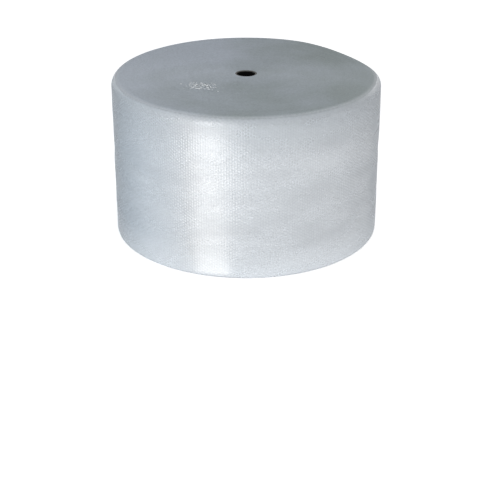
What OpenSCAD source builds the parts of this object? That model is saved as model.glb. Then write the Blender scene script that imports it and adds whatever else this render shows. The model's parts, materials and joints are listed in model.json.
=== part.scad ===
// Roll of bubble film on a board core, standing on its end.
// The frame is at the middle of the lower end, with Z along the roll and the core.
// Azimuths are counted from +X towards +Y. The film is wound outwards the same way.

/* [Roll] */
// Width of the film, which is the height of the standing roll
film_w = 609.6; // [300:0.1:1300]
// Outer diameter of the roll
roll_d = 1016; // [700:1:1300]
// Thickness of one wound layer of film
layer = 3.6; // [2.5:0.1:5]

/* [Core] */
// Bore of the board core
core_bore = 70; // [40:1:160]
// Wall of the core
core_wall = 6; // [3:0.5:12]
// How far each end of the core lies inside the film's edge
core_recess = 2; // [0.5:0.5:20]
// Clearance between the core and the innermost turn
core_fit = 0.2; // [0.1:0.05:1]

/* [Turns at the ends] */
// Layers that one drawn turn stands for
turn_layers = 8; // [5:1:16]
// Width of the groove between two drawn turns
groove_w = 5; // [2:0.5:10]
// Depth of that groove
groove_depth = 2.5; // [1:0.1:6]

/* [Edges] */
// Radius of the soft upper shoulder
shoulder_r = 34; // [8:1:40]
// Height of the outermost turn's lower edge above the floor
foot_lift = 3; // [1:0.5:10]
// Bare ledge that each terrace of the shoulder leaves past the bubbles
terrace_ledge = 1.2; // [0.5:0.1:6]

/* [Bubble columns] */
// Distance from one column of bubbles to the next, round the roll
column_pitch = 9.73; // [8:0.01:20]
// Height of the bubbles above the film between them
bubble_rise = 2.4; // [1:0.1:4]
// Share of the pitch that the flattened top of a column takes
column_top = 0.5; // [0.2:0.05:0.7]

/* [Flat spot] */
// Depth that lying on its side has pressed into the roll
flat_depth = 26; // [0:1:40]
// Azimuth of its middle
flat_azimuth = 33; // [0:1:359]
// Half of the angle that it spans
flat_half = 37; // [30:1:60]

/* [Free end] */
// Azimuth of the film's outer end
end_azimuth = 110; // [0:1:359]

/* [Hidden] */
film_color = [0.80, 0.84, 0.88];
board_color = [0.50, 0.48, 0.45];
cut_over = 1;                       // how far a cutter stands out of what it cuts
outline_step = 3;                   // degrees between two points of a plain turn
$fn = 120;

roll_r = roll_d / 2;
core_r = core_bore / 2 + core_wall;
film_bore_r = core_r + core_fit;

columns = round(2 * PI * roll_r / column_pitch);
column_shape = [[0, 0], [(1 - column_top) / 2, 1], [(1 + column_top) / 2, 1]];

terrace_step = layer + bubble_rise + terrace_ledge;
terraces = ceil(shoulder_r / terrace_step - 0.5);
flat_top_r = roll_r - terraces * terrace_step - flat_depth;

turn_pitch = turn_layers * layer;
first_turn_r = film_bore_r + turn_pitch / 2;
last_turn_room = flat_top_r - groove_w - first_turn_r - turn_pitch * 3 / 4;
turns = 1 + floor(last_turn_room / turn_pitch);

function polar(r, a) = [r * cos(a), r * sin(a)];

// Angle from the middle of the flat spot, 0 to 180
function off_flat(a) = abs((a - flat_azimuth + 540) % 360 - 180);

// How much nearer to the axis a turn runs over the flat spot
function flat_loss(a) =
    off_flat(a) < flat_half ? flat_depth * pow(cos(90 * off_flat(a) / flat_half), 2) : 0;

// Outline of a whole turn that lies inset from the outside
function turn_outline(inset) =
    [for (a = [0:outline_step:360 - outline_step]) polar(roll_r - inset - flat_loss(a), a)];

// Radius of the outermost turn, without its bubbles, after a share of the way round
function outer_r(share) = roll_r - bubble_rise - layer * (1 - share);

function outer_point(share, rise) =
    let (a = end_azimuth + 360 * share)
    polar(outer_r(share) + rise * bubble_rise - flat_loss(a), a);

// Drop of a terrace below the roll's end, so that the terraces follow a round shoulder
function terrace_drop(k) =
    let (reach = shoulder_r - (k + 0.5) * terrace_step)
    k < terraces ? shoulder_r - sqrt(pow(shoulder_r, 2) - pow(reach, 2)) : 0;

// Outermost turn: upright columns of bubbles, and a step of one layer at the free end
module outer_turn() {
    wall = [
        for (i = [0:columns - 1], p = column_shape) outer_point((i + p[0]) / columns, p[1]),
        outer_point(1, 0)
    ];
    translate([0, 0, foot_lift])
        linear_extrude(film_w - terrace_drop(0) - foot_lift) polygon(wall);
}

// The turns inside it end higher and higher, up to the roll's flat end
module inner_turns() {
    for (k = [1:terraces]) {
        low = k == 1 ? 0 : film_w / 2;
        translate([0, 0, low])
            linear_extrude(film_w - terrace_drop(k) - low) polygon(turn_outline(k * terrace_step));
    }
}

// Half-round cuts between turns, the first of them at radius r
module half_turn_cuts(r) {
    half_w = groove_w / 2 * (1 + cut_over / groove_depth);
    rotate_extrude(angle = 180)
        for (k = [0:turns - 1])
            translate([r + k * turn_pitch, 0])
                polygon([[0, -groove_depth], [half_w, cut_over], [-half_w, cut_over]]);
}

// Spiral of half circles about two centres, which meet end to end at the plane x = 0
module spiral_cut() {
    translate([0, turn_pitch / 4, 0]) rotate([0, 0, -90]) half_turn_cuts(first_turn_r);
    translate([0, -turn_pitch / 4, 0]) rotate([0, 0, 90])
        half_turn_cuts(first_turn_r + turn_pitch / 2);
}

module bubble_film() {
    color(film_color) difference() {
        union() {
            outer_turn();
            inner_turns();
        }
        translate([0, 0, film_w]) spiral_cut();
        mirror([0, 0, 1]) spiral_cut();
        translate([0, 0, -cut_over]) cylinder(r = film_bore_r, h = film_w + 2 * cut_over);
    }
}

module core_tube() {
    core_len = film_w - 2 * core_recess;
    color(board_color) translate([0, 0, core_recess]) difference() {
        cylinder(r = core_r, h = core_len);
        translate([0, 0, -cut_over]) cylinder(d = core_bore, h = core_len + 2 * cut_over);
    }
}

bubble_film();
core_tube();
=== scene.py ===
# %% [markdown]
# A big roll of bubble film stands on its end. The real thing is one long web of clear plastic film with
# sealed air bubbles, wound on a board core. The CAD frame has the roll and the core at their real size.
# Everything made here is placed from that frame, in metres, and only adds what the eye sees.

# %% Load the frame
import json
import math

import bmesh
import bpy
import numpy as np
from mathutils import Matrix, Vector

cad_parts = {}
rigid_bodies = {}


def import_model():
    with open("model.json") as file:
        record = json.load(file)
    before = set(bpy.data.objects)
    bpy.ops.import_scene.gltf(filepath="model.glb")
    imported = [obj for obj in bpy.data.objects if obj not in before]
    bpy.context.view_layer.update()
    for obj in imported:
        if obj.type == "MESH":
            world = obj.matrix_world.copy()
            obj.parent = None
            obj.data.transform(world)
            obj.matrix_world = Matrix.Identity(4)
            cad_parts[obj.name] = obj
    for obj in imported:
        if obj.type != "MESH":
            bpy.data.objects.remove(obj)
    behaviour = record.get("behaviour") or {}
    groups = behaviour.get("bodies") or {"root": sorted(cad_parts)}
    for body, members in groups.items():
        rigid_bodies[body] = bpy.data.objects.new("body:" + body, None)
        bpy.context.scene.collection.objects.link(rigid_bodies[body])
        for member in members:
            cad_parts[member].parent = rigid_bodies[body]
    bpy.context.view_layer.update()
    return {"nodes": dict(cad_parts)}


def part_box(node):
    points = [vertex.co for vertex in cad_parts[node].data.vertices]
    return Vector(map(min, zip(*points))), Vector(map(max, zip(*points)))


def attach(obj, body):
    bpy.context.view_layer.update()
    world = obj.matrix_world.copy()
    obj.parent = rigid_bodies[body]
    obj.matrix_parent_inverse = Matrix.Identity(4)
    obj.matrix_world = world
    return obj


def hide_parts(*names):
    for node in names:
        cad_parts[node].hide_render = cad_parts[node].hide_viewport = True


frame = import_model()
film_low, film_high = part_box("bubble_film")
core_low, core_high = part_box("core_tube")
print("film box", film_low, film_high)

# %% [markdown]
# The driving sizes. The height and the core come from the frame. The diameter of the full roll, the
# thickness of one wound layer and the soft shoulder are those of the CAD source. The foot is rounded too,
# but more tightly, because the roll's weight rests on it.

# %% Sizes of the roll
MM = 0.001
TURN = 2 * math.pi

roll_h = film_high.z
roll_r = 508 * MM
core_r = (core_high.x - core_low.x) / 2
layer = 3.6 * MM
shoulder_r = 34 * MM
foot_r = 10 * MM
print(f"roll {roll_h / MM:.1f} mm high, {2 * roll_r / MM:.0f} mm across, core {2 * core_r / MM:.1f} mm")

# %% [markdown]
# A wound roll is a spiral, so its radius grows by one layer in one turn and ends in a step. It helps to
# write the outline once, as functions of the azimuth, and to put every mesh through the same functions.
# Then the bubbles, the film under them and the turns at the ends all follow it together. The free end is
# at the back, where the CAD source has it. Its bubbles are cut, so over its last stretch the film lies
# down on the turn below it.

# %% Free end of the film
end_azimuth = math.radians(110)
end_flat = 18 * MM
end_thick = 0.85 * MM
end_bend = 1.5


def wound_share(azimuth):
    """Share of a turn that has been wound since the free end, from 0 to 1."""
    return ((azimuth - end_azimuth) % TURN) / TURN


def end_sink(azimuth):
    """How far the film has come down on the turn below it, close to the free end."""
    left = (1 - wound_share(azimuth)) * TURN * roll_r
    return (layer - end_thick) * np.clip(1 - left / end_flat, 0, 1) ** end_bend


print(f"the film sinks {(layer - end_thick) / MM:.2f} mm over its last {end_flat / MM:.0f} mm")

# %% [markdown]
# Such a roll is soft. Lying on its side has left a flat spot, the same as in the CAD source. And no wall
# of loosely wound film is quite straight: this one has a slight waist, and slow waves cross it. All of
# that only takes away from the radius, so the roll stays inside its CAD box.

# %% Flat spot
flat_depth = 26 * MM
flat_azimuth = math.radians(33)
flat_half = math.radians(37)


def flat_loss(azimuth):
    """How much nearer to the axis the outermost turn runs over the flat spot."""
    off = np.abs((azimuth - flat_azimuth + math.pi) % TURN - math.pi)
    bump = np.cos(np.minimum(off / flat_half, 1) * math.pi / 2) ** 2
    return flat_depth * bump


print(f"flat spot {flat_loss(flat_azimuth) / MM:.0f} mm deep")

# %% Waist and waves of the wall
waist_depth = 1.5 * MM
waist_z = 0.335
waist_half = 0.03
wave_terms = [
    # waves round the roll, metres of height for one wave, size
    (1, 0.31, 0.45 * MM),
    (2, 0.17, 0.35 * MM),
    (3, 0.12, 0.22 * MM),
    (5, 0.23, 0.22 * MM),
    (8, 0.09, 0.12 * MM),
]
rng = np.random.default_rng(24)
wave_phases = rng.uniform(0, TURN, (len(wave_terms), 2))


def slack(azimuth, z):
    """How far the wall lies inwards at an azimuth and a height."""
    waist = waist_depth * np.exp(-(((z - waist_z) / waist_half) ** 2))
    waves = 0
    for (round_roll, height, size), (first, second) in zip(wave_terms, wave_phases):
        wave = np.sin(round_roll * azimuth + first) * np.sin(z * TURN / height + second)
        waves = waves + size * (1 + wave)
    return waist + waves


print(f"slack {slack(-TURN / 4, waist_z) / MM:.1f} mm at the waist, in front")

# %% [markdown]
# The meshes are built on a plain cylinder first, where the operators are easy to use. A last step bends
# them: it reads every vertex as a radius, an azimuth and a height, and writes it back at its place on the
# real wall. A mesh can also carry a number on every vertex, an attribute, which its material reads later.

# %% Read, move and paint vertices
def read_polar(mesh):
    """Radius, azimuth and height of every vertex."""
    flat = np.empty(len(mesh.vertices) * 3)
    mesh.vertices.foreach_get("co", flat)
    x, y, z = flat.reshape(-1, 3).T
    return np.hypot(x, y), np.arctan2(y, x), z


def write_polar(mesh, radius, azimuth, z):
    """Moves every vertex to the place that these say."""
    points = np.stack([radius * np.cos(azimuth), radius * np.sin(azimuth), z], axis=1)
    mesh.vertices.foreach_set("co", points.astype(np.float32).ravel())
    mesh.update()


def paint(mesh, name, values):
    """Stores one number for each vertex under a name."""
    attribute = mesh.attributes.new(name, "FLOAT", "POINT")
    attribute.data.foreach_set("value", np.asarray(values, dtype=np.float32))


# %% [markdown]
# On the roll, the film stands upright for most of its width. Near the upper edge it turns inwards over
# the soft shoulder, and near the floor it turns in over the smaller foot. Where it has turned, it hugs the
# turns inside it, and the step of the free end dies out.

# %% Bend a plain cylinder onto the wall
bubble_rise = 0.8 * MM
film_w = roll_h
foot_turn = math.pi / 3
foot_reach = foot_r * foot_turn
shoulder_start = foot_reach + (roll_h - foot_r - shoulder_r)


def on_wall(azimuth, up_film, lift):
    """Radius and height of a point that lies lift above the film, up_film from its lower edge."""
    over = np.maximum(up_film - shoulder_start, 0) / shoulder_r
    under = np.maximum(foot_reach - up_film, 0) / foot_r
    straight = np.clip(up_film, foot_reach, shoulder_start) - foot_reach
    z = foot_r + straight + shoulder_r * np.sin(over) - foot_r * np.sin(under)
    inset = shoulder_r * (1 - np.cos(over)) + foot_r * (1 - np.cos(under))
    tilt = over - under
    hug = np.clip(np.abs(tilt) / foot_turn, 0, 1)
    standing = layer * wound_share(azimuth) - end_sink(azimuth)
    wall = roll_r - bubble_rise - layer + standing * (1 - hug) - flat_loss(azimuth)
    return wall - slack(azimuth, z) - inset + lift * np.cos(tilt), z + lift * np.sin(tilt)


def rounding(up_film):
    """How far the film has turned in over the shoulder: 0 on the wall, 1 where it would lie flat."""
    return np.clip((up_film - shoulder_start) / shoulder_r / (math.pi / 2), 0, 1)


print(f"film upright from {foot_reach / MM:.1f} to {shoulder_start / MM:.1f} mm of {film_w / MM:.1f} mm")

# %% [markdown]
# Materials are node trees. Writing the sums of a shader as Python expressions keeps them readable, so one
# small class wraps a socket: adding, subtracting or multiplying two of them adds a Math node.

# %% A socket that takes part in sums
class Wire:
    """A shader socket. Sums of wires and numbers add Math nodes to the tree."""

    def __init__(self, tree, socket=None):
        self.tree = tree
        self.socket = socket

    def node(self, kind, settings, inputs, out=0):
        """Adds a node: its settings first, then the values or links of its sockets."""
        made = self.tree.nodes.new("ShaderNode" + kind)
        for name, value in settings.items():
            setattr(made, name, value)
        for name, value in inputs.items():
            if isinstance(value, Wire):
                self.tree.links.new(value.socket, made.inputs[name])
            else:
                made.inputs[name].default_value = value
        return Wire(self.tree, made.outputs[out])

    def calc(self, operation, first, second):
        return self.node("Math", {"operation": operation}, {0: first, 1: second})

    def __add__(self, other):
        return self.calc("ADD", self, other)

    def __radd__(self, other):
        return self.calc("ADD", other, self)

    def __sub__(self, other):
        return self.calc("SUBTRACT", self, other)

    def __rsub__(self, other):
        return self.calc("SUBTRACT", other, self)

    def __mul__(self, other):
        return self.calc("MULTIPLY", self, other)

    def __rmul__(self, other):
        return self.calc("MULTIPLY", other, self)


# %% Start and finish a material
def new_material(name):
    """An empty material, and the wire that its nodes hang on."""
    material = bpy.data.materials.new(name)
    material.use_nodes = True
    material.node_tree.nodes.clear()
    print("finish", name)
    return material, Wire(material.node_tree)


def connect_output(wire, surface, kind="Material"):
    out = wire.tree.nodes.new("ShaderNodeOutput" + kind)
    wire.tree.links.new(surface.socket, out.inputs["Surface"])


def finish_material(wire, inputs):
    """Adds the surface shader and the output."""
    connect_output(wire, wire.node("BsdfPrincipled", {}, inputs))
    print("made of", len(wire.tree.nodes), "nodes")


# %% [markdown]
# A few nodes come back in every finish, so each gets a short name. The patterns read where a point of the
# surface lies on the object, in metres, so they keep their true size and stay in place from every side.

# %% Nodes for places and patterns
def object_place(wire):
    return wire.node("TexCoord", {}, {}, out="Object")


def coordinate(wire, place, axis):
    return wire.node("SeparateXYZ", {}, {"Vector": place}, out=axis)


def distance(wire, place, point):
    return wire.node("VectorMath", {"operation": "DISTANCE"}, {0: place, 1: point}, out="Value")


def painted(wire, name):
    """The number that was painted on the vertices under this name."""
    return wire.node("Attribute", {"attribute_name": name}, {}, out="Fac")


def noise(wire, place, scale, detail):
    return wire.node("TexNoise", {}, {"Vector": place, "Scale": scale, "Detail": detail})


def ramp(wire, value, start, end, low=0.0, high=1.0, smooth=False):
    """Goes from low to high while the value goes from start to end, and stays level outside them."""
    kind = "SMOOTHSTEP" if smooth else "LINEAR"
    reach = {"From Min": start, "From Max": end, "To Min": low, "To Max": high}
    return wire.node("MapRange", {"interpolation_type": kind}, {"Value": value, **reach})


# %% Nodes for colours and relief
def hex_colour(code):
    """Turns a colour written as a web code into the linear values that shaders use."""
    parts = [int(code[i : i + 2], 16) / 255 for i in (0, 2, 4)]
    return [p / 12.92 if p <= 0.04045 else ((p + 0.055) / 1.055) ** 2.4 for p in parts] + [1]


def blend_colours(wire, share, first, second):
    """The Mix node has an A and a B for each kind of value, so those for colours go by number."""
    return wire.node("Mix", {"data_type": "RGBA"}, {"Factor": share, 6: first, 7: second}, out=2)


def vary_shade(wire, colour, pattern, contrast):
    """A pattern from 0 to 1 makes the colour darker and lighter, with 0.5 leaving it as it is."""
    value = pattern * contrast + (1 - contrast / 2)
    return wire.node("HueSaturation", {}, {"Value": value, "Color": colour})


def relief(wire, height, strength, depth):
    return wire.node("Bump", {}, {"Strength": strength, "Distance": depth, "Height": height})


print("middle grey in linear values", round(hex_colour("808080")[0], 3))

# %% [markdown]
# The film is clear, yet a roll of it looks milky: light is thrown back by hundreds of film faces, one
# behind the other. Tracing all of them would be slow and noisy. A pale, slightly metallic gloss gives the
# same strong mirror glint on each bubble, and slow clouds of blue and neutral grey stand for the depth.
# At the ends the eye looks into the film's cut edges, which are darker, greyer and duller. Over the
# shoulder one look gives way to the other, so both are worked out here.

# %% Clouds of the film, colour of its edges and painted light on the ends
web_pale = hex_colour("C8CBCF")
web_deep = hex_colour("BEC1C5")
edge_pale = hex_colour("B0B7C0")
edge_deep = hex_colour("949C9D")
cloud_noise = {"scale": 4.0, "detail": 3.0}
cloud_low, cloud_high = 0.35, 0.65
# Painted light on the ends: a pale spot behind on the left, and paler towards the left.
painted_light_spot = (-0.25, 0.28, roll_h)
painted_light_far, painted_light_near = 0.45, 0.1
painted_light_share = 0.36
painted_light_per_metre = 0.45
tone_light_low, tone_light_high = 0.25, 0.85
look_from, look_to = 0.35, 0.95


def film_clouds(wire, place):
    """Slow clouds, drawn out along the turns, as layers bed down more or less tightly."""
    lying = wire.node("Mapping", {}, {"Vector": place, "Scale": (1, 1, 3)})
    return ramp(wire, noise(wire, lying, **cloud_noise), cloud_low, cloud_high)


def edge_colour(wire, place):
    """The film's cut edges, seen from above, with painted light: paler to the left and most of all in a
    spot behind on the left.
    """
    away = distance(wire, place, painted_light_spot)
    # The spot and the ramp along X are painted light; the noise is the edges' own random tone.
    glow = ramp(wire, away, painted_light_far, painted_light_near, high=painted_light_share)
    tone_and_painted_light = noise(wire, place, **cloud_noise) - coordinate(wire, place, "X") * painted_light_per_metre + glow
    return blend_colours(wire, ramp(wire, tone_and_painted_light, tone_light_low, tone_light_high), edge_deep, edge_pale)


def edge_share(wire, start=look_from, end=look_to):
    """How far the wall's look has given way to that of the end, over the shoulder's rounding."""
    return ramp(wire, painted(wire, "rounding"), start, end, smooth=True)


# %% [markdown]
# Light and shade are painted on the wall as well. It has painted light that is bluer on the left and
# painted shade at both outer edges, and it is paler near the floor, partly the pressed film's own
# whiteness and partly painted light from the floor. Towards the shoulder it has painted shade, most of all
# on the right. Lamps alone don't give these slow changes, so each is painted as a tint: a ramp along one
# axis that blends a colour in.

# %% Painted light and shade on the wall
painted_wall_light = [
    # axis, where the painted tint sets in, where it is full, its share, its colour
    # painted light, bluer on the left
    ("X", -0.2, -0.45, 0.6, "BFCDD9"),
    # painted shade at the left outer edge
    ("X", -0.36, -0.48, 0.4, "9AA3AA"),
    # painted shade at the right outer edge
    ("X", 0.45, 0.5, 0.4, "9AA3AA"),
    # paler near the floor: the pressed film's own whiteness and painted light from the floor
    ("Z", 0.12, 0.0, 0.6, "E4E8EC"),
]
# Painted shade towards the shoulder, twice as strong on the right.
painted_shoulder_shade = "A8ADB2"
shoulder_shade_low, shoulder_shade_high = 0.43, 0.6
shoulder_shade_share = 0.4
right_from, right_full = -0.12, 0.0
right_gain = 2.0


def paint_light_on_wall(wire, place, colour):
    # Blends in each painted tint, then the painted shade towards the shoulder.
    for axis, start, full, share, tint in painted_wall_light:
        reached = ramp(wire, coordinate(wire, place, axis), start, full, high=share)
        colour = blend_colours(wire, reached, colour, hex_colour(tint))
    height = coordinate(wire, place, "Z")
    reached = ramp(wire, height, shoulder_shade_low, shoulder_shade_high, high=shoulder_shade_share)
    gain = ramp(wire, coordinate(wire, place, "X"), right_from, right_full, low=1.0, high=right_gain)
    return blend_colours(wire, reached * gain, colour, hex_colour(painted_shoulder_shade))


# %% [markdown]
# The finish puts the clouds and the wall's painted light and shade together. Every bubble is a shade
# lighter or darker than its neighbours, the deep parts of the clouds are a little duller, and fine creases
# break up the glints. The film between the bubbles gets the same finish in a slightly darker grey, so that
# the bubbles stand out.

# %% Film finishes
film_mirror = 0.35
mirror_from, mirror_to = 0.05, 0.5
film_glints = {"Specular IOR Level": 0.25, "Specular Tint": (0.25, 0.26, 0.28, 1)}
cloud_dulling = 0.1
tone_contrast = 0.04


def film_material(name, pale, deep, roughness):
    material, wire = new_material(name)
    place = object_place(wire)
    clouds = film_clouds(wire, place)
    creases = noise(wire, place, scale=420.0, detail=2.0)
    film = vary_shade(wire, blend_colours(wire, clouds, deep, pale), painted(wire, "tone"), tone_contrast)
    wall = paint_light_on_wall(wire, place, film)
    finish_material(wire, {
        "Base Color": blend_colours(wire, edge_share(wire), wall, edge_colour(wire, place)),
        "Metallic": film_mirror * (1 - edge_share(wire, mirror_from, mirror_to)),
        "Roughness": roughness + (1 - clouds) * cloud_dulling,
        "Normal": relief(wire, creases, strength=0.25, depth=0.6 * MM),
        **film_glints,
    })
    return material


bubble_finish = film_material("bubble_gloss", hex_colour("CED1D4"), hex_colour("C4C7CA"), roughness=0.22)
web_finish = film_material("web_gloss", web_pale, web_deep, roughness=0.24)

# %% [markdown]
# Most shapes of a roll are turned, so they start as a profile: a few vertices joined by edges, in a plane
# through the axis. The spin operator carries the profile round and leaves faces behind it.

# %% Profiles and spins
def new_object(name, data):
    made = bpy.data.objects.new(name, data)
    bpy.context.scene.collection.objects.link(made)
    return made


def mesh_object(name, bm):
    """Turns the bmesh into a smooth mesh and puts it into the scene."""
    mesh = bpy.data.meshes.new(name)
    bm.to_mesh(mesh)
    bm.free()
    mesh.polygons.foreach_set("use_smooth", [True] * len(mesh.polygons))
    return new_object(name, mesh)


def only_verts(geom):
    return [g for g in geom if isinstance(g, bmesh.types.BMVert)]


def chain(bm, points):
    """Vertices joined one after another by edges: a profile to spin."""
    verts = [bm.verts.new(p) for p in points]
    return verts + [bm.edges.new(pair) for pair in zip(verts, verts[1:])]


def spin_about_z(bm, geom, azimuth, angle, steps, **options):
    """Turns the profile to an azimuth and spins it from there."""
    turned = Matrix.Rotation(azimuth, 3, "Z")
    bmesh.ops.rotate(bm, verts=only_verts(geom), cent=(0, 0, 0), matrix=turned)
    bmesh.ops.spin(bm, geom=geom, cent=(0, 0, 0), axis=(0, 0, 1), angle=angle, steps=steps, **options)


# %% [markdown]
# The film of the outermost turn is a sheet that runs once round. Spinning its upright profile makes it,
# with a hair of a gap at the free end, where the winding's step is. Solidify then gives it a real
# thickness and closes its edges, so the free end shows a cut edge.

# %% Film of the outermost turn
web_thick = 0.9 * MM
web_steps = 326
foot_rows, wall_rows, shoulder_rows = 4, 48, 9
hair_angle = 1e-5


def make_web():
    """The sheet on the plain cylinder, with close rows of faces only where it will bend."""
    rows = np.concatenate([
        np.linspace(0, foot_reach, foot_rows, endpoint=False),
        np.linspace(foot_reach, shoulder_start, wall_rows, endpoint=False),
        np.linspace(shoulder_start, film_w, shoulder_rows),
    ])
    bm = bmesh.new()
    profile = chain(bm, [(roll_r, 0, up_film) for up_film in rows])
    spin_about_z(bm, profile, end_azimuth + hair_angle, TURN - 2 * hair_angle, web_steps)
    return mesh_object("outer_film", bm)


def bend_web(mesh):
    """Sends the sheet to the real wall, and paints its rounding for the finish."""
    radius, azimuth, up_film = read_polar(mesh)
    radius, z = on_wall(azimuth, up_film, radius - roll_r)
    write_polar(mesh, radius, azimuth, z)
    paint(mesh, "rounding", rounding(up_film))


def face_outwards(mesh):
    """Turns an open shell's faces away from the roll's axis."""
    first = mesh.polygons[len(mesh.polygons) // 2]
    if first.normal.dot(Vector((first.center.x, first.center.y, 0))) < 0:
        mesh.flip_normals()


web = make_web()
bend_web(web.data)
face_outwards(web.data)
thickness = web.modifiers.new("film", "SOLIDIFY")
thickness.thickness = web_thick
thickness.offset = -1
web.data.materials.append(web_finish)
print("outer film", len(web.data.polygons), "faces")

# %% [markdown]
# Each bubble is a shallow pillow. Its profile is spun once for one bubble, copied up the film for a
# column, and copied again half a pitch higher for the next column, because bubbles are packed like coins.
# A spin that duplicates then sets pairs of columns round the roll. Four pieces keep each mesh small.

# %% Pitch and profile of the bubbles
column_pairs = 164
columns = 2 * column_pairs
column_angle = TURN / columns
column_gap = roll_r * column_angle
bubble_pitch = column_gap / math.cos(math.pi / 6)
bubbles_up = int(film_w / bubble_pitch)
first_bubble = (film_w - (bubbles_up - 0.5) * bubble_pitch) / 2
bubble_profile = [
    # distance from the bubble's middle, height above the film
    (4.8 * MM, -0.12 * MM),
    (3.9 * MM, 0.22 * MM),
    (2.1 * MM, 0.62 * MM),
    (0, bubble_rise),
]
print(f"{columns} columns, {bubble_pitch / MM:.2f} mm apart in a column, {bubbles_up} in each")

# %% Bubbles
sectors = 4
bubble_sides = 8
pole_gap = 1e-6


def one_bubble(bm, up_film):
    """Spins the bubble's profile about the line that points out of the film."""
    profile = chain(bm, [(roll_r + height, 0, up_film + reach) for reach, height in bubble_profile])
    bmesh.ops.spin(bm, geom=profile, cent=(roll_r, 0, up_film), axis=(1, 0, 0), angle=TURN,
                   steps=bubble_sides, use_merge=True)
    bmesh.ops.remove_doubles(bm, verts=bm.verts, dist=pole_gap)


def everything(bm):
    return bm.verts[:] + bm.edges[:] + bm.faces[:]


def add_copy(bm, geom, move, turn=0.0):
    """Copies the geometry, moved up the film and turned about the roll's axis."""
    verts = only_verts(bmesh.ops.duplicate(bm, geom=geom)["geom"])
    bmesh.ops.translate(bm, verts=verts, vec=(0, 0, move))
    bmesh.ops.rotate(bm, verts=verts, cent=(0, 0, 0), matrix=Matrix.Rotation(turn, 3, "Z"))


def bubble_sector(index):
    """One piece of the bubbles, still on the plain cylinder: bubble, column, pair, sector."""
    bm = bmesh.new()
    one_bubble(bm, first_bubble)
    single = everything(bm)
    for i in range(1, bubbles_up):
        add_copy(bm, single, i * bubble_pitch)
    add_copy(bm, everything(bm), bubble_pitch / 2, column_angle)
    copies = column_pairs // sectors - 1
    start = end_azimuth + column_angle / 2 + index * TURN / sectors
    spin_about_z(bm, everything(bm), start, copies * 2 * column_angle, copies, use_duplicate=True)
    return mesh_object(f"bubbles_{index + 1}", bm)


bubbles = [bubble_sector(i) for i in range(sectors)]
print("bubbles", sum(len(piece.data.polygons) for piece in bubbles), "faces")

# %% [markdown]
# No two bubbles hold the same air, so each gets its own height and its own tone. The vertices say which
# bubble they belong to by where they are, so a table of random numbers, one for each bubble, is enough. A
# few bubbles are weak, and the last column stands at the cut of the free end and has lost most of its air.
# Over the shoulder the film is pressed onto the turns inside it, so the bubbles go flat there.

# %% Air and tone of each bubble
fullness_least, fullness_most = 0.82, 1.04
weak_share = 0.02
weak_least, weak_most = 0.35, 0.7
cut_fullness = 0.4

fullness = rng.uniform(fullness_least, fullness_most, (columns, bubbles_up + 1))
weak = rng.random(fullness.shape) < weak_share
fullness[weak] = rng.uniform(weak_least, weak_most, weak.sum())
fullness[-1] *= cut_fullness
tones = rng.random(fullness.shape)
print("weak bubbles", weak.sum(), "of", fullness.size)

# %% Bend the bubbles onto the wall
pressed_from, pressed_to = 0.4, 0.63
pressed_share = 0.9


def which_bubble(azimuth, up_film):
    """Column and row of the bubble that a vertex belongs to."""
    column = (wound_share(azimuth) * columns).astype(int) % columns
    first_in_column = first_bubble + (column % 2) * bubble_pitch / 2
    row = ((up_film - first_in_column) / bubble_pitch + 0.5).astype(int)
    return column, np.clip(row, 0, bubbles_up)


def settle_bubbles(mesh):
    """Lifts every bubble by its own share and sends it to the real wall."""
    radius, azimuth, up_film = read_polar(mesh)
    bubble = which_bubble(azimuth, up_film)
    pressed = np.clip((rounding(up_film) - pressed_from) / (pressed_to - pressed_from), 0, 1)
    lift = (radius - roll_r) * fullness[bubble] * (1 - pressed_share * pressed)
    radius, z = on_wall(azimuth, up_film, lift)
    write_polar(mesh, radius, azimuth, z)
    paint(mesh, "tone", tones[bubble])
    paint(mesh, "rounding", rounding(up_film))


for piece in bubbles:
    settle_bubbles(piece.data)
    face_outwards(piece.data)
    piece.data.materials.append(bubble_finish)
    print(piece.name, "bent onto the wall")

# %% [markdown]
# The turns inside are one closed body: the ends show some 130 film edges, the bore hugs the core and the
# wall hides under the outermost turn. The turns don't end level. They follow the soft shoulder and the
# foot, with a slow unevenness from turn to turn.

# %% Sizes and ends of the turns inside
core_fit = 0.2 * MM
bore_r = core_r + core_fit
turn_r = roll_r - bubble_rise - layer - web_thick
body_gap = 4.6 * MM
body_r = turn_r - body_gap
wander_terms = [
    # waves for each layer, size
    (0.9, 0.3 * MM),
    (0.23, 0.3 * MM),
    (0.061, 0.25 * MM),
]
wander_phases = rng.uniform(0, TURN, len(wander_terms))


def end_drop(radius, edge_r):
    """How far the soft edge falls away from the flat end at a radius."""
    reach = np.clip(radius - (turn_r - edge_r), 0, edge_r)
    return edge_r - np.sqrt(edge_r**2 - reach**2)


def end_rounding(radius):
    """The film's rounding over the shoulder, carried on over the turns inside it."""
    return np.arccos(np.clip((radius - turn_r) / shoulder_r + 1, 0, 1)) / (math.pi / 2)


def wander(radius):
    """The unevenness from turn to turn, never out of the roll."""
    fall = 0
    for (per_layer, size), phase in zip(wander_terms, wander_phases):
        wave = np.sin(radius / layer * TURN * per_layer + phase)
        fall = fall + size * (1 + wave) / 2
    return fall


print(f"turns from {bore_r / MM:.1f} to {body_r / MM:.1f} mm of radius")

# %% [markdown]
# The body's profile is a zigzag at each end, one ridge to a layer at the top and one to two layers at the
# hidden foot. It is closed along the bore and the wall, and spun once round.

# %% Spin the turns as rings
body_steps = 220
ridge_depth = 1.0 * MM
foot_ridge = 2 * layer


def zigzag(ridge, z, depth):
    """From the bore outwards: a crest and a valley for each ridge, begun one ridge inside the bore."""
    count = int((body_r - bore_r) / ridge) + 2
    points = []
    for i in range(-1, count):
        points += [(bore_r + i * ridge, 0, z), (bore_r + (i + 0.5) * ridge, 0, z + depth)]
    return points


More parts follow.
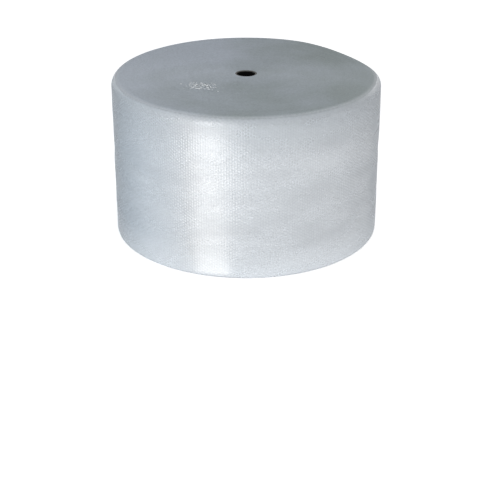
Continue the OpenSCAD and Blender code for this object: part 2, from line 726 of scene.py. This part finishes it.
def spin_body():
    """The foot's zigzag, the wall, the top's zigzag and the bore, as one closed profile."""
    foot = zigzag(foot_ridge, 0, ridge_depth)
    top = zigzag(layer, roll_h, -ridge_depth)
    bm = bmesh.new()
    profile = chain(bm, foot + top[::-1])
    verts = only_verts(profile)
    profile.append(bm.edges.new((verts[-1], verts[0])))
    spin_about_z(bm, profile, end_azimuth + hair_angle, TURN - 2 * hair_angle, body_steps)
    return mesh_object("wound_turns", bm)


body = spin_body()
print("rings", len(body.data.polygons), "faces")

# %% [markdown]
# A spin makes rings, but wound film is a spiral. So every radius is moved out by one ridge in the course
# of a turn. The last profile of a ridge then meets the first of the next one, and merging the doubles
# closes a true spiral. The flat spot presses these turns too, but less and less towards the core.

# %% Wind the rings into a spiral
loss_power = 3
merge_gap = 0.05 * MM
sliver = 0.01 * MM


def settle_body(mesh):
    """Winds the spun rings into spirals, lowers their soft edges and presses in the flat spot."""
    radius, azimuth, z = read_polar(mesh)
    top = z > roll_h / 2
    radius = radius + np.where(top, layer, foot_ridge) * wound_share(azimuth)
    past_wall = (radius < bore_r) | (radius > body_r)
    radius = np.clip(radius, bore_r, body_r)
    fall = np.where(top, end_drop(radius, shoulder_r), end_drop(radius, foot_r)) + wander(radius)
    z = np.where(past_wall, np.where(top, roll_h, 0), z)
    z = z + np.where(top, -fall, fall)
    paint(mesh, "rounding", np.where(top, end_rounding(radius), 1))
    loss = flat_loss(azimuth) + slack(azimuth, np.where(top, roll_h, 0))
    write_polar(mesh, radius - loss * (radius / turn_r) ** loss_power, azimuth, z)


def close_body(mesh):
    """Merges the winding's two ends and whatever the clipping has flattened."""
    bm = bmesh.new()
    bm.from_mesh(mesh)
    bmesh.ops.remove_doubles(bm, verts=bm.verts, dist=merge_gap)
    bmesh.ops.dissolve_degenerate(bm, edges=bm.edges, dist=sliver)
    bmesh.ops.recalc_face_normals(bm, faces=bm.faces)
    print("open edges of the body:", sum(e.is_boundary for e in bm.edges))
    bm.to_mesh(mesh)
    bm.free()


settle_body(body.data)
close_body(body.data)
print("wound turns", len(body.data.polygons), "faces")

# %% [markdown]
# At the ends light is lost between the film edges. They keep the colour and the painted light that were
# worked out for the shoulder, with a fine speckle and a coarse relief, and hardly shine.

# %% Finish of the film edges
def edge_material():
    material, wire = new_material("film_edges")
    place = object_place(wire)
    cells = noise(wire, place, scale=150.0, detail=3.0)
    colour = blend_colours(wire, edge_share(wire), web_pale, edge_colour(wire, place))
    finish_material(wire, {
        "Base Color": vary_shade(wire, colour, cells, contrast=0.5),
        "Roughness": 0.5 + cells * 0.2,
        "Normal": relief(wire, cells, strength=0.5, depth=2 * MM),
        **film_glints,
    })
    return material


body.data.materials.append(edge_material())
print(body.name, "finished with", body.data.materials[0].name)

# %% [markdown]
# Where the web was trimmed, some bubbles were cut open, and their loose lids catch the light. A small
# patch of them shows on the upper end, in front of the core and to the left, thickest in its middle. Each
# lid is a flat cone of six sides with its own size, turn and tilt.

# %% Opened bubbles on the upper end
lid_count = 140
lid_sides = 6
lid_least, lid_most = 2.2 * MM, 4.6 * MM
lid_height_share = 0.3
lid_tilt_least, lid_tilt_most = 0.2, 0.9
lid_sink = 0.5 * MM
patch_x, patch_y = -0.163, -0.152
patch_reach, patch_depth = 35.1 * MM, 20.7 * MM


def make_lids():
    """Cones strewn over the patch: a few random numbers each, always in the same order."""
    bm = bmesh.new()
    for _ in range(lid_count):
        aside, ahead = rng.normal(0, 1, 2)
        size = rng.uniform(lid_least, lid_most)
        tilt = Matrix.Rotation(rng.uniform(lid_tilt_least, lid_tilt_most), 4, "X")
        turn = Matrix.Rotation(rng.uniform(0, TURN), 4, "Z")
        middle = (patch_x + aside * patch_reach, patch_y + ahead * patch_depth, roll_h - lid_sink)
        place = Matrix.Translation(middle)
        bmesh.ops.create_cone(bm, cap_ends=True, segments=lid_sides, radius1=size, radius2=0,
                              depth=size * lid_height_share, matrix=place @ turn @ tilt)
    return mesh_object("opened_bubbles", bm)


def lid_material():
    material, wire = new_material("lid_gloss")
    finish_material(wire, {"Base Color": hex_colour("DEE2E4"), "Metallic": film_mirror, "Roughness": 0.2})
    return material


lids = make_lids()
lids.data.materials.append(lid_material())
print("opened bubbles", len(lids.data.polygons), "faces")

# %% [markdown]
# The core is a tube of grey board. The CAD tube has the right shape, so it stays and only gets its finish:
# matte fibres with darker and paler stains. Seen from outside, hardly any light gets down the bore, so
# painted shade turns the board nearly black a few millimetres below each end.

# %% Core board finish
bore_shade_from, bore_shade_to = 2.5 * MM, 6 * MM


def board_material():
    material, wire = new_material("core_board")
    place = object_place(wire)
    fibres = noise(wire, place, scale=260.0, detail=4.0)
    stains = noise(wire, place, scale=25.0, detail=2.0)
    board = blend_colours(wire, stains, hex_colour("605F5C"), hex_colour("706F6B"))
    # Painted shade down the bore, a few millimetres in from each end.
    from_middle = coordinate(wire, place, "Z") - roll_h / 2
    reach = wire.node("Math", {"operation": "ABSOLUTE"}, {0: from_middle})
    bore_shade = ramp(wire, reach, roll_h / 2 - bore_shade_from, roll_h / 2 - bore_shade_to)
    colour = blend_colours(wire, bore_shade, board, hex_colour("060606"))
    finish_material(wire, {
        "Base Color": vary_shade(wire, colour, fibres, contrast=0.6),
        "Roughness": 0.85,
        "Specular IOR Level": 0.1,
        "Normal": relief(wire, fibres, strength=0.4, depth=0.8 * MM),
    })
    return material


core = frame["nodes"]["core_tube"]
core.data.materials.clear()
core.data.materials.append(board_material())
print("core keeps its CAD shape,", len(core.data.polygons), "faces")

# %% [markdown]
# The new pieces have to move with the CAD model. They ride on its only body, and together they stand for
# the film's CAD solid, which is hidden.

# %% Ride on the roll's body and stand for the CAD film
for piece in [web, body, lids, *bubbles]:
    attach(piece, "root")
    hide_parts("bubble_film")
    print(piece.name, "rides on root")

# %% [markdown]
# The floor is plain and pale. It reads as white to the camera and in reflections, but it still takes the
# roll's shadow near by. Further off, where the lamps don't reach, it glows as white as the world behind
# it. So each finish here is a mix of two shaders, chosen by what kind of ray looks at it.

# %% Shaders that glow
def seen_directly(wire):
    """1 for the rays that show a thing: those of the camera, of reflections and through clear film."""
    kinds = ("Camera", "Glossy", "Transmission")
    return sum(wire.node("LightPath", {}, {}, out=f"Is {kind} Ray") for kind in kinds)


def emission(wire, strength, colour=(1, 1, 1, 1)):
    return wire.node("Emission", {}, {"Color": colour, "Strength": strength})


def mix_shaders(wire, share, first, second):
    return wire.node("MixShader", {}, {0: share, 1: first, 2: second})


# %% Floor
floor_half = 30
floor_colour = (0.8, 0.81, 0.82, 1)
lit_reach, white_reach = 2.0, 6.0
near_strength = 0.6


def floor_material():
    material, wire = new_material("floor")
    matte = wire.node("BsdfDiffuse", {}, {"Color": floor_colour})
    far = ramp(wire, distance(wire, object_place(wire), (0, 0, 0)), lit_reach, white_reach)
    glow = mix_shaders(wire, far, emission(wire, near_strength), emission(wire, 1.0))
    glowing = wire.node("AddShader", {}, {0: matte, 1: glow})
    connect_output(wire, mix_shaders(wire, seen_directly(wire), matte, glowing))
    return material


def make_floor():
    bm = bmesh.new()
    bmesh.ops.create_grid(bm, x_segments=1, y_segments=1, size=floor_half)
    floor = mesh_object("floor", bm)
    floor.data.materials.append(floor_material())
    print("floor", 2 * floor_half, "m wide")


make_floor()

# %% World
sky_dim = {"Color": (0.96, 0.98, 1, 1), "Strength": 0.2}
sky_white = {"Color": (1, 1, 1, 1), "Strength": 1.0}


def make_world():
    world = bpy.data.worlds.new("studio")
    bpy.context.scene.world = world
    world.use_nodes = True
    world.node_tree.nodes.clear()
    wire = Wire(world.node_tree)
    dim = wire.node("Background", {}, sky_dim)
    white = wire.node("Background", {}, sky_white)
    connect_output(wire, mix_shaders(wire, seen_directly(wire), dim, white), "World")
    print("world made of", len(world.node_tree.nodes), "nodes")


make_world()

# %% [markdown]
# The light in the photograph is large and soft and comes from ahead on the left, with a weaker fill on the
# right and some light from above. Two dim lamps behind keep the far side readable. The bright upright band
# is the reflection of a tall strip on the left, which glints on the upper slopes of the bubbles. Only
# reflections see that strip, so it doesn't flatten the shading. Distances and sizes are in metres.

# %% Lamps
def towards(azimuth):
    """A level direction away from the roll. Azimuth 0 is the camera's side, positive to the right."""
    return Vector((math.sin(azimuth), -math.cos(azimuth), 0))


def soft_lamp(name, azimuth, away, height, size, power, colour, seen_in="both"):
    """An area lamp that looks at the roll, seen in its shade, in its gloss or in both."""
    data = bpy.data.lights.new(name, "AREA")
    data.shape = "RECTANGLE"
    data.size, data.size_y = size
    data.energy = power
    data.color = colour
    lamp = new_object(name, data)
    lamp.visible_camera = False
    lamp.visible_glossy = seen_in != "shade"
    lamp.visible_diffuse = seen_in != "gloss"
    lamp.location = towards(math.radians(azimuth)) * away + Vector((0, 0, height))
    aim = Vector((0, 0, roll_h / 2)) - lamp.location
    lamp.rotation_euler = aim.to_track_quat("-Z", "Y").to_euler()
    print(name, "lamp of", power, "W")


# name, azimuth in degrees, away, height, size, power in watts, colour, where it is seen
soft_lamp("key", -20, 3.2, 1.35, (1.3, 1.5), 45, (0.91, 0.96, 1), "shade")
soft_lamp("fill", 15, 4.0, 1.3, (1.5, 1.5), 26, (1, 0.95, 0.9), "shade")
soft_lamp("right", 75, 4.0, 1.2, (1.5, 1.5), 20, (0.96, 0.98, 1), "shade")
soft_lamp("above", 0, 0.6, 5.0, (2.5, 2.5), 70, (1, 1, 1), "shade")
soft_lamp("behind_left", -145, 4.5, 2.0, (3.0, 2.0), 16, (0.95, 0.97, 1))
soft_lamp("behind_right", 140, 4.5, 2.0, (3.0, 2.0), 34, (1, 1, 1))
soft_lamp("strip", -30, 3.2, 1.6, (0.7, 3.2), 36, (1, 0.95, 0.9), "gloss")

# %% [markdown]
# The glint on the bubbles is only half of the bright band. The film between them stands upright, so it
# mirrors the ground in front of the roll. A white card lies there, fanning out from the foot towards the
# strip lamp. It fades on its left, and it is dimmer near the foot, so that the band is even from the top
# to the floor. Only reflections see it, and it lights nothing else.

# %% Glow of the card on the ground
card_turn = math.radians(-33)
card_left = card_turn - math.radians(24)
card_right = card_turn + math.radians(13)
card_fade = math.radians(15)
card_glow = 3.4
card_white = (1, 0.97, 0.93, 1)
card_near_share = 0.7
card_dim_reach = 1.0


def card_material(corner):
    """The corner is the card's near left one, from which its left edge fans out."""
    material, wire = new_material("card")
    place = object_place(wire)
    aside = coordinate(wire, place, "X") - corner.x
    ahead = corner.y - coordinate(wire, place, "Y")
    turn = wire.calc("ARCTAN2", aside, ahead)
    faded = ramp(wire, turn, card_left, card_left + card_fade, smooth=True)
    dimmed = ramp(wire, distance(wire, place, corner), 0.0, card_dim_reach, low=card_near_share)
    bright = emission(wire, card_glow, card_white)
    connect_output(wire, mix_shaders(wire, faded * dimmed, emission(wire, 0.0), bright))
    return material


# %% Card on the ground
card_near_left, card_near_right = -0.045, 0.085
card_start = 1.02 * roll_r
card_lift = 4 * MM
card_reach = 2.2


def make_card():
    middle = card_turn / 2
    foot = towards(middle) * card_start + Vector((0, 0, card_lift))
    along = towards(middle + math.pi / 2)
    near_left = foot + along * card_near_left
    near_right = foot + along * card_near_right
    far_right = near_right + towards(card_right) * card_reach
    far_left = near_left + towards(card_left) * card_reach
    bm = bmesh.new()
    verts = [bm.verts.new(p) for p in (near_left, near_right, far_right, far_left)]
    bmesh.ops.contextual_create(bm, geom=verts)
    card = mesh_object("card", bm)
    card.data.materials.append(card_material(near_left))
    card.visible_camera = False
    card.visible_diffuse = False
    card.visible_shadow = False
    print(f"card {(far_right - far_left).length:.2f} m wide at its far edge")


make_card()

# %% [markdown]
# The photograph looks down at the roll from about nine radii away, from a little over twenty degrees. Its
# focal length was fitted in pixels, which gives the lens for any sensor, and a small sideways shift puts
# the roll's axis where the photograph has it. The Standard view transform shows colours as written.

# %% Camera
view_distance = 9 * roll_r
view_height = roll_h + 2.875 * roll_r
view_pitch = math.radians(25.2)
view_focal = 1271.3
photo_side = 480
axis_pixel = 246.1
sensor_w = 36


def make_camera():
    data = bpy.data.cameras.new("camera")
    data.sensor_width = sensor_w
    data.lens = view_focal / photo_side * sensor_w
    data.shift_x = (photo_side / 2 - axis_pixel) / photo_side
    camera = new_object("camera", data)
    camera.location = (0, -view_distance, view_height)
    camera.rotation_euler = (math.pi / 2 - view_pitch, 0, 0)
    bpy.context.scene.camera = camera
    print(f"camera with a lens of {data.lens:.1f} mm")


make_camera()
bpy.context.scene.view_settings.view_transform = "Standard"
